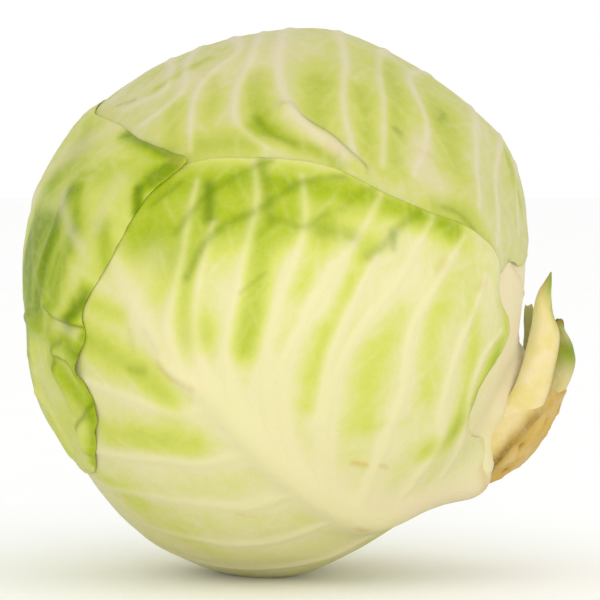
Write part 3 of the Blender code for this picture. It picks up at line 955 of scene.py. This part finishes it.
def new_grid(name, cells_along, cells_across):
    """A flat square grid from -1 to 1, as a new object, and its points' two coordinates."""
    add = bpy.ops.mesh.primitive_grid_add
    piece = new_piece(name, add, x_subdivisions=cells_along, y_subdivisions=cells_across, size=2.0)
    points = points_of(piece)
    return piece, points[:, 0], points[:, 1]


def place_points(piece, points):
    piece.data.vertices.foreach_set("co", np.ascontiguousarray(points, dtype=np.float32).ravel())
    piece.data.update()


def keep_facts(piece, facts):
    """Stores each named number at the mesh's points, for the material to read."""
    for name, values in facts.items():
        layer = piece.data.attributes.new(name, "FLOAT", "POINT")
        layer.data.foreach_set("value", values.astype(np.float32))


def point_out(piece):
    """Turns every face of a closed shell outwards."""
    select_only(piece)
    edit_whole(bpy.ops.mesh.normals_make_consistent, inside=False)
    bpy.ops.object.shade_smooth()


def finish_piece(piece, material, *nodes):
    """Gives a piece its material and its place in the frame."""
    piece.data.materials.clear()
    piece.data.materials.append(material)
    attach(piece, "root")
    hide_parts(*nodes)


def rim_corners(cells):
    """The numbers of a grid's edge points, in order round it."""
    side = cells + 1
    rim = list(range(cells))
    rim += [n * side + cells for n in range(cells)]
    rim += [cells * side + cells - n for n in range(cells)]
    rim += [(cells - n) * side for n in range(cells)]
    return rim


def close_rim(piece, cells, every):
    """Joins the edge of a grid to the edge of a coarser one that follows it in the same mesh."""
    fine = rim_corners(cells)
    first = (cells + 1) ** 2
    coarse = [first + n for n in rim_corners(cells // every)]
    mesh = bmesh.new()
    mesh.from_mesh(piece.data)
    mesh.verts.ensure_lookup_table()
    for n, corner in enumerate(coarse):
        stretch = [fine[(n * every + k) % len(fine)] for k in range(every + 1)]
        corners = [corner, *stretch, coarse[(n + 1) % len(coarse)]]
        mesh.faces.new([mesh.verts[c] for c in corners])
    mesh.to_mesh(piece.data)
    mesh.free()


def leaf_skin(leaf, name, cells, side, floor):
    """The outside or the inside of a leaf, as a grid over its outline."""
    skin, u, v = new_grid(name, cells, cells)
    way = leaf_ways(leaf, u, v)
    heights, facts = leaf_surface(leaf, way)
    place_points(skin, on_head(way, heights[side], floor))
    keep_facts(skin, facts)
    return skin


def build_leaf(leaf, tints):
    """A leaf as a closed sheet: a fine outside, a coarser inside, and a rim between them."""
    coarse = leaf.cells // LINING_STEP
    lining_floor = leaf.floor + LINING_LIFT * settings().leaf_thickness
    piece = leaf_skin(leaf, leaf.name + "_look", leaf.cells, "outside", leaf.floor)
    lining = leaf_skin(leaf, leaf.name + "_lining", coarse, "inside", lining_floor)
    select_only(piece, lining)
    bpy.ops.object.join()
    close_rim(piece, leaf.cells, LINING_STEP)
    point_out(piece)
    finish_piece(piece, leaf_material(leaf.name + "_wax", tints, leaf.tone), leaf.name)


def build_leaves(tints):
    for leaf in LEAVES:
        build_leaf(leaf, tints)


WELD = 0.01  # mm between points that become one


def rolled(name, steps_round, steps_along, surface):
    """A closed skin: surface gives the points for a turn (0 to 2 pi) and a share along."""
    piece, u, v = new_grid(name, steps_round, steps_along)
    points, facts = surface((u + 1.0) * math.pi, (v + 1.0) / 2.0)
    place_points(piece, points)
    keep_facts(piece, facts)
    edit_whole(bpy.ops.mesh.remove_doubles, threshold=WELD * MM)
    point_out(piece)
    return piece


# ---- the heart ----
HEART_CELLS = 48  # faces along one side of each of the heart's six patches
HEART_FLOOR = 4.0  # mm that the heart stays off the ground, for the leaves under it
SPOKE_LENGTH = 0.45  # of the ridges that run out from the stem, on a ball of radius 1
SPOKE_HEIGHT = 0.35  # mm
SPOKE_SEED = 7
HOLLOW_WIDTH = 30.0  # degrees round the stem in which the heart is ridged and pale


def build_heart(tints):
    """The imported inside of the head, seen only in the hollow round the stem."""
    piece = new_piece("heart_look", bpy.ops.mesh.primitive_cube_add, size=2.0)
    edit_whole(bpy.ops.mesh.subdivide, number_cuts=HEART_CELLS - 1)
    way = unit(np.tan(points_of(piece) * math.pi / 4))
    from_stem = np.degrees(angle(way, STEM_WAY[None, :]))
    round_stem = unit(way - STEM_WAY * (way @ STEM_WAY)[:, None])
    spokes = 0.5 + 0.5 * ripple(round_stem, SPOKE_LENGTH, SPOKE_SEED)
    near = np.exp(-((from_stem / HOLLOW_WIDTH) ** 2))
    place_points(piece, on_head(way, SPOKE_HEIGHT * MM * spokes * near, HEART_FLOOR * MM))
    zero = np.zeros(len(way))
    facts = {"vein": spokes * near, "green": 0.12 + zero, "dark": zero, "pale": 0.75 * near, "scar": zero}
    keep_facts(piece, facts)
    point_out(piece)
    finish_piece(piece, leaf_material("heart_wax", tints), "heart")


# ---- the stem and the torn leaf bases ----
def from_centre(x, y, z):
    """A place given in millimetres from the middle of the head."""
    return HEAD_CENTRE + np.array([x, y, z]) * MM


STEM_FOOT = (57.9, 0.0, -31.6)  # in mm from the middle of the head
STEM_RIM = (75.4, 0.3, -41.2)  # the middle of the cut's rim, given in the same way
STEM_CUT_WAY = (81, -41)  # the way the cut faces
STEM_CELLS = (160, 110)  # round it and along its skin
STEM_WALL_SHARE = 0.55  # of the skin's length, from the foot to the rim
STEM_FLARE = 0.30  # how much wider the stem is at its foot
STEM_WAIST = 0.86  # its width between the foot and the rim, as a share of the rim's
STEM_LIP = 0.06  # how much the rim is rounded off
CUT_SAG = 2.2  # mm that the middle of the cut lies below the middle of its rim
CUT_ROUGHNESS = ((0.25, 6.0, 71), (0.12, 2.5, 72))  # height and length in mm, and seed
SMEAR_WIDTH = 0.09  # of the browned band at the rim, as a share of the skin's length
SMEAR_WAVE = 12  # mm
SMEAR_SEED = 73
SPOT_RADIUS = 1.1  # mm, of a vein's end in the cut
SPOT_DEPTH = 0.9  # mm
STEM_SPOTS = (  # the turn and the share of the stem's radius at which each vein ends
    (2.35, 0.62), (3.05, 0.70), (1.55, 0.72), (0.8, 0.66),
    (0.0, 0.70), (-0.8, 0.62), (-1.6, 0.7), (-2.4, 0.66),
)


def stem_radii(turn, wall):
    """The stem's radius for a turn and a share of its wall."""
    flare = STEM_FLARE * (1.0 - smoothstep(wall * 2.5))
    widening = (1.0 - STEM_WAIST) * smoothstep(wall * 2.0 - 0.7)
    radius = settings().stem_radius * (STEM_WAIST + widening + flare)
    lobes = 1.0 + 0.018 * np.sin(3.0 * turn + 0.6) + 0.012 * np.sin(7.0 * turn + 2.0) * wall
    return radius * lobes * (1.0 - STEM_LIP * smoothstep((wall - 0.9) * 10.0))


def vein_ends(points, rim, rim_way, up, side):
    """1 at the middle of each vein's end in the cut, 0 away from them."""
    found = np.zeros(len(points))
    for turn, reach in STEM_SPOTS:
        out = up * math.cos(turn) + side * math.sin(turn)
        spot = rim + out * reach * settings().stem_radius
        away = np.linalg.norm(np.cross(points - spot, rim_way), axis=1)
        found = np.maximum(found, np.exp(-((away / (SPOT_RADIUS * MM)) ** 2)))
    return found


def stem_surface(turn, along):
    """The stem's skin from its foot to the middle of its domed cut."""
    foot = from_centre(*STEM_FOOT)
    rim = from_centre(*STEM_RIM)
    rim_way = ways(STEM_CUT_WAY)[0]
    wall = np.clip(along / STEM_WALL_SHARE, 0.0, 1.0)
    top = np.clip((along - STEM_WALL_SHARE) / (1.0 - STEM_WALL_SHARE), 0.0, 1.0)
    axis = unit(STEM_WAY * (1.0 - wall)[:, None] + rim_way * wall[:, None])
    up = unit(UP - axis * axis[:, 2:])
    side = np.cross(axis, up)
    round_way = up * np.cos(turn)[:, None] + side * np.sin(turn)[:, None]
    across = np.cos(top * math.pi / 2.0)
    dome = settings().stem_dome * (1.0 - across**2) ** 0.9
    centre = foot * (1.0 - wall)[:, None] + rim * wall[:, None]
    points = centre + round_way * (stem_radii(turn, wall) * across)[:, None]
    points = points + rim_way * dome[:, None] - UP * CUT_SAG * MM * (1.0 - across)[:, None]
    rough = sum(height * ripple(points, size * MM, seed) for height, size, seed in CUT_ROUGHNESS)
    points = points + rim_way * (rough * (top > 0.0) * MM)[:, None]
    on_wall = along < STEM_WALL_SHARE
    facing = 0.5 + 0.5 * np.sin(turn)  # 1 at the front of the stem, where the cut has browned most
    smear = np.exp(-(((along - STEM_WALL_SHARE) / SMEAR_WIDTH) ** 2)) * facing**2
    smear = smear * (0.60 + 0.3 * ripple(points, SMEAR_WAVE * MM, SMEAR_SEED))
    spots = np.where(on_wall, 0.0, vein_ends(points, rim, rim_way, up[-1], side[-1]))
    scar = np.where(on_wall, smoothstep((wall - 0.70) * 3.3), 1.0) * 0.8
    dark = np.clip(0.8 * spots + smear, 0.0, 1.0)
    points = points - rim_way * (spots * SPOT_DEPTH * MM)[:, None]
    return points, {"green": np.zeros(len(turn)), "dark": dark, "scar": scar}


def build_stem(tints):
    """The short stem, cut off below the head."""
    piece = rolled("stem_look", *STEM_CELLS, stem_surface)
    finish_piece(piece, stem_material("stem_flesh", tints), "stem")


BASE_WAVE = (7.0, 0.25)  # length and height in mm of the waves in a torn leaf base
TEAR_WAVE = (2.2, 0.5)  # the same of the teeth along its torn edge
BASE_CELLS = (120, 90)  # round it and along it
NO_WIDTH = 1e-6  # mm, which keeps a pointed tip from having no direction across


class TornBase:
    """What is left of an outer leaf's foot: a curved plate between two edges."""

    def __init__(self, name, left, right, bulge, thickness, marks, seed):
        self.name = name
        self.left = left  # (x, y, z) places in mm from the middle of the head, foot first
        self.right = right
        self.bulge = bulge  # (x, y, z) mm that the middle of the plate stands out
        self.thickness = thickness  # mm at the foot and at the tip
        self.marks = marks  # name: ((along, across, reach along, reach across, strength), ...)
        self.seed = seed

    def surface(self, turn, along):
        """The plate's skin, and its colours."""
        across = np.cos(turn)
        edges = [spline(np.array(edge, float), along) for edge in (self.left, self.right)]
        share = ((across + 1.0) / 2.0)[:, None]
        bow = (1.0 - across**2) * np.sin(np.pi * np.clip(along, 0.08, 0.85))
        middle = edges[0] * (1.0 - share) + edges[1] * share + np.array(self.bulge) * bow[:, None]
        wide = unit(edges[1] - edges[0] + np.array([NO_WIDTH, 0.0, 0.0]))
        face = unit(np.cross(wide, UP))
        start, end = self.thickness
        round_side = np.sqrt(np.clip(1.0 - across**6, 0.0, 1.0))
        round_end = np.sqrt(np.clip(1.0 - ((along - 0.5) * 2.0) ** 14, 0.0, 1.0))
        half = (start + (end - start) * along) / 2.0 * round_side * round_end
        out = half * np.sign(np.sin(turn)) * np.abs(np.sin(turn)) ** 0.4
        wave = BASE_WAVE[1] * ripple(middle, BASE_WAVE[0], self.seed) * along
        teeth = TEAR_WAVE[1] * ripple(middle * [1, 0, 0], TEAR_WAVE[0], self.seed + 1) * along**6
        points = middle + face * (out + wave)[:, None] + UP * teeth[:, None]
        facts = {}
        for name in ("green", "dark", "scar"):
            facts[name] = np.zeros(len(turn))
            for at, off, long_reach, wide_reach, strength in self.marks.get(name, ()):
                blot = np.exp(-(((along - at) / long_reach) ** 2) - ((across - off) / wide_reach) ** 2)
                facts[name] = np.maximum(facts[name], strength * blot)
        return HEAD_CENTRE + points * MM, facts


TORN_BASES = (
    TornBase(
        "torn_leaf_base_tall",
        left=(
            (65.0, -16.8, -35.0), (70.0, -18.0, -28.0), (74.0, -18.8, -19.0),
            (77.0, -17.5, -7.0), (79.0, -15.5, 3.0), (83.2, -12.0, 9.4),
        ),
        right=(
            (77.6, -15.6, -36.0), (81.8, -16.4, -28.0), (84.4, -15.6, -19.0),
            (86.0, -15.0, -9.0), (83.8, -13.5, -1.0), (83.6, -12.0, 9.6),
        ),
        bulge=(0.5, -1.2, 0.0),
        thickness=(3.2, 0.9),
        marks={
            "green": (
                (0.96, 0.2, 0.13, 1.2, 1.0),
                (0.78, 0.9, 0.12, 0.5, 0.60),
                (0.65, -0.9, 0.3, 0.4, 0.30),
            ),
            "dark": ((0.92, -0.9, 0.12, 0.5, 0.35), (0.45, 1.0, 0.2, 0.2, 0.30)),
        },
        seed=81,
    ),
    TornBase(
        "torn_leaf_base_short",
        left=((80.5, -12.0, -33.0), (83.6, -12.5, -21.0), (84.4, -11.0, -12.0), (84.6, -7.0, -4.8)),
        right=((84.0, 9.0, -33.0), (87.6, 8.5, -21.0), (86.8, 7.0, -12.0), (85.8, 4.0, -5.4)),
        bulge=(4.2, -1.0, 0.0),
        thickness=(4.0, 1.2),
        marks={
            "green": ((0.58, 0.0, 0.22, 3.0, 1.0), (0.88, 0.0, 0.2, 3.0, 0.75)),
            "dark": (
                (1.0, 0.0, 0.12, 3.0, 0.9),
                (0.75, -0.8, 0.2, 0.4, 0.5),
                (0.3, -0.9, 0.3, 0.3, 0.4),
            ),
        },
        seed=91,
    ),
    TornBase(
        "torn_leaf_base_small",
        left=((75.5, 4.0, -24.0), (76.0, 4.0, -14.0), (76.4, 4.5, -6.0), (77.0, 6.0, -0.5)),
        right=((82.0, 12.0, -22.0), (81.2, 13.0, -14.0), (80.0, 12.0, -7.0), (78.4, 10.0, -1.6)),
        bulge=(1.5, -1.0, 0.0),
        thickness=(2.6, 0.8),
        marks={"green": ((0.7, 0.0, 0.5, 2.0, 0.70),), "dark": ((0.8, 0.0, 0.3, 2.0, 0.35),)},
        seed=101,
    ),
)


def build_torn_bases(tints):
    """The torn leaf bases, standing on the stem."""
    for base in TORN_BASES:
        piece = rolled(base.name + "_look", *BASE_CELLS, base.surface)
        finish_piece(piece, stem_material(base.name + "_skin", tints), base.name)


# ---- the stage ----
FLOOR_SIDES = 128
FLOOR_WHITES = ((0.96, 0.96, 0.955), (0.985, 0.985, 0.98))
FLOOR_GRAIN = 0.01  # mm of relief
SENSOR_WIDTH = 36.0  # mm
NEAREST_SEEN = 0.05  # m from the camera


def aim(piece, at):
    """Turns a lamp or a camera so that it looks at a place."""
    piece.rotation_euler = (Vector(at) - piece.location).to_track_quat("-Z", "Y").to_euler()


def add_lamp(name, way, distance, wide, tall, power, at):
    bpy.ops.object.light_add(type="AREA", location=Vector(at) + Vector(ways(way)[0]) * distance)
    lamp = bpy.context.object
    lamp.name = name
    lamp.data.shape = "RECTANGLE"
    lamp.data.size = wide
    lamp.data.size_y = tall
    lamp.data.energy = power
    aim(lamp, at)


def build_floor():
    """A round floor of plain paper, level with the bottom of the head."""
    add = bpy.ops.mesh.primitive_circle_add
    floor = new_piece("floor", add, vertices=FLOOR_SIDES, radius=settings().floor_radius, fill_type="NGON")
    floor.location = (0.0, 0.0, LOW.z)
    bpy.ops.object.transform_apply(location=True)
    paint = Painter("floor_paper")
    cloud = paint.noise(size=60.0, detail=2.0, roughness=0.5)
    colour = paint.mix(*FLOOR_WHITES, cloud)
    roughness = paint.between(cloud, 0.0, 1.0, 0.85, 0.95)
    floor.data.materials.append(paint.finish(colour, roughness, cloud, FLOOR_GRAIN))


def build_room():
    """An even white light from all round."""
    world = bpy.data.worlds.new("studio")
    world.use_nodes = True
    sky = world.node_tree.nodes["Background"]
    sky.inputs["Color"].default_value = (1.0, 1.0, 1.0, 1.0)
    sky.inputs["Strength"].default_value = settings().room_light
    bpy.context.scene.world = world


def build_camera(middle):
    """The camera, which sees a fixed width at the head."""
    size = settings()
    target = middle + Vector((size.camera_aside, 0.0, size.camera_raise))
    way = Vector(ways((0.0, math.degrees(size.camera_tilt)))[0])
    bpy.ops.object.camera_add(location=target + way * size.camera_distance)
    camera = bpy.context.object
    camera.name = "camera"
    aim(camera, target)
    camera.data.sensor_width = SENSOR_WIDTH
    camera.data.lens = SENSOR_WIDTH * size.camera_distance / size.camera_view
    camera.data.dof.use_dof = False
    camera.data.clip_start = NEAREST_SEEN
    bpy.context.scene.camera = camera


def build_stage():
    """The floor, the soft light and the camera."""
    size = settings()
    middle = (LOW + HIGH) / 2
    build_floor()
    build_room()
    add_lamp("key", (3, 6), distance=1.9, wide=1.6, tall=0.36, power=size.key_light, at=middle)
    add_lamp("fill", (50, 30), distance=1.8, wide=1.0, tall=1.0, power=size.fill_light, at=middle)
    build_camera(middle)
    view = bpy.context.scene.view_settings
    view.view_transform = "Standard"
    view.look = "None"


# ---- the add-on ----
def number(name, about, default, **details):
    return bpy.props.FloatProperty(name=name, description=about, default=default, **details)


def length(name, about, default):
    return number(name, about, default, unit="LENGTH", precision=5)


def tint(name, about, red, green, blue):
    """A colour property whose default is given as 0 to 255 display values."""
    shade = linear(red, green, blue)
    return bpy.props.FloatVectorProperty(
        name=name, description=about, default=shade, subtype="COLOR", size=3, min=0.0, max=1.0
    )


class CabbageTints(bpy.types.PropertyGroup):
    """The colours of the head."""

    cream: tint("Cream", "Thick pale parts of a leaf", 212, 206, 156)
    yellow_green: tint("Yellow green", "Half lit leaf", 194, 198, 92)
    mid_green: tint("Mid green", "The outer part of a leaf", 158, 174, 30)
    deep_green: tint("Deep green", "The greenest part of a leaf", 120, 142, 0)
    # dark green streaks in the leaves, and painted shade in the creases beside the top and back leaves'
    # folds
    dark_green: tint("Dark green", "Bruised and folded streaks", 100, 124, 0)
    vein_cream: tint("Vein cream", "The veins", 214, 207, 150)
    white_rib: tint("White rib", "The thick inner rib", 217, 203, 163)
    tan: tint("Tan", "Dry scars", 192, 154, 64)
    brown: tint("Brown", "The oldest scars", 112, 82, 16)
    stem_cream: tint("Stem cream", "Fresh stem flesh", 218, 202, 158)
    stem_yellow: tint("Stem yellow", "Older stem flesh", 210, 194, 122)


class CabbageSettings(bpy.types.PropertyGroup):
    """The sizes of the head and of its stage."""

    tints: bpy.props.PointerProperty(type=CabbageTints, name="Tints", description="Colours of the head")
    leaf_thickness: length("Leaf thickness", "Thickness of a leaf between its veins", 0.9 * MM)
    leaf_gap: length("Leaf gap", "Clear space between two leaves", 0.18 * MM)
    relief: number("Relief", "Scale of the height of the veins", 1.0, min=0.0)
    stem_radius: length("Stem radius", "Radius of the stem at its cut", 21.3 * MM)
    stem_dome: length("Stem dome", "How far the cut bulges", 4.2 * MM)
    floor_radius: length("Floor radius", "Radius of the floor", 4.0)
    room_light: number("Room light", "Strength of the room's light", 1.0, min=0.0)
    key_light: number("Key light", "Main lamp", 14.2, unit="POWER", min=0.0)
    fill_light: number("Fill light", "Second lamp", 1.5, unit="POWER", min=0.0)
    camera_distance: length("Camera distance", "From the middle of the head", 1.3)
    camera_view: length("Camera view", "Width that the camera sees at the head", 0.1815)
    camera_aside: length("Camera aside", "How far right of the middle the camera looks", 0.0005)
    camera_raise: length("Camera raise", "How far above the middle the camera looks", 0.0)
    camera_tilt: number("Camera tilt", "How far down the camera looks", math.radians(3.0), subtype="ANGLE")


class CabbageOperator(bpy.types.Operator):
    """Shared by the operators that build the head."""

    bl_options = {"REGISTER", "UNDO"}

    def execute(self, context):
        self.build(context.scene.cabbage.tints)
        return {"FINISHED"}


class MESH_OT_cabbage_heart(CabbageOperator):
    """Build the heart of the head"""

    bl_idname = "mesh.cabbage_heart"
    bl_label = "Heart"
    build = staticmethod(build_heart)


class MESH_OT_cabbage_leaves(CabbageOperator):
    """Build the five wrapper leaves"""

    bl_idname = "mesh.cabbage_leaves"
    bl_label = "Leaves"
    build = staticmethod(build_leaves)


class MESH_OT_cabbage_stem(CabbageOperator):
    """Build the cut stem"""

    bl_idname = "mesh.cabbage_stem"
    bl_label = "Stem"
    build = staticmethod(build_stem)


class MESH_OT_cabbage_torn_bases(CabbageOperator):
    """Build the torn leaf bases round the stem"""

    bl_idname = "mesh.cabbage_torn_bases"
    bl_label = "Torn leaf bases"
    build = staticmethod(build_torn_bases)


class MESH_OT_cabbage_stage(CabbageOperator):
    """Build the floor, the light and the camera"""

    bl_idname = "mesh.cabbage_stage"
    bl_label = "Stage"

    def build(self, tints):
        build_stage()


class VIEW3D_PT_cabbage(bpy.types.Panel):
    """Lists the head's settings and operators."""

    bl_label = "Cabbage Head"
    bl_space_type = "VIEW_3D"
    bl_region_type = "UI"
    bl_category = "Cabbage"

    def draw(self, context):
        for group in (context.scene.cabbage, context.scene.cabbage.tints):
            for name in group.__annotations__:
                if name != "tints":
                    self.layout.prop(group, name)
        for operator in OPERATORS:
            self.layout.operator(operator.bl_idname)


OPERATORS = (
    MESH_OT_cabbage_heart,
    MESH_OT_cabbage_leaves,
    MESH_OT_cabbage_stem,
    MESH_OT_cabbage_torn_bases,
    MESH_OT_cabbage_stage,
)
CLASSES = (CabbageTints, CabbageSettings, *OPERATORS, VIEW3D_PT_cabbage)


def register():
    for one in CLASSES:
        bpy.utils.register_class(one)
    bpy.types.Scene.cabbage = bpy.props.PointerProperty(type=CabbageSettings)


def unregister():
    del bpy.types.Scene.cabbage
    for one in reversed(CLASSES):
        bpy.utils.unregister_class(one)


def main():
    register()
    bpy.ops.mesh.cabbage_heart()
    bpy.ops.mesh.cabbage_leaves()
    bpy.ops.mesh.cabbage_stem()
    bpy.ops.mesh.cabbage_torn_bases()
    bpy.ops.mesh.cabbage_stage()


if __name__ == "__main__":
    main()
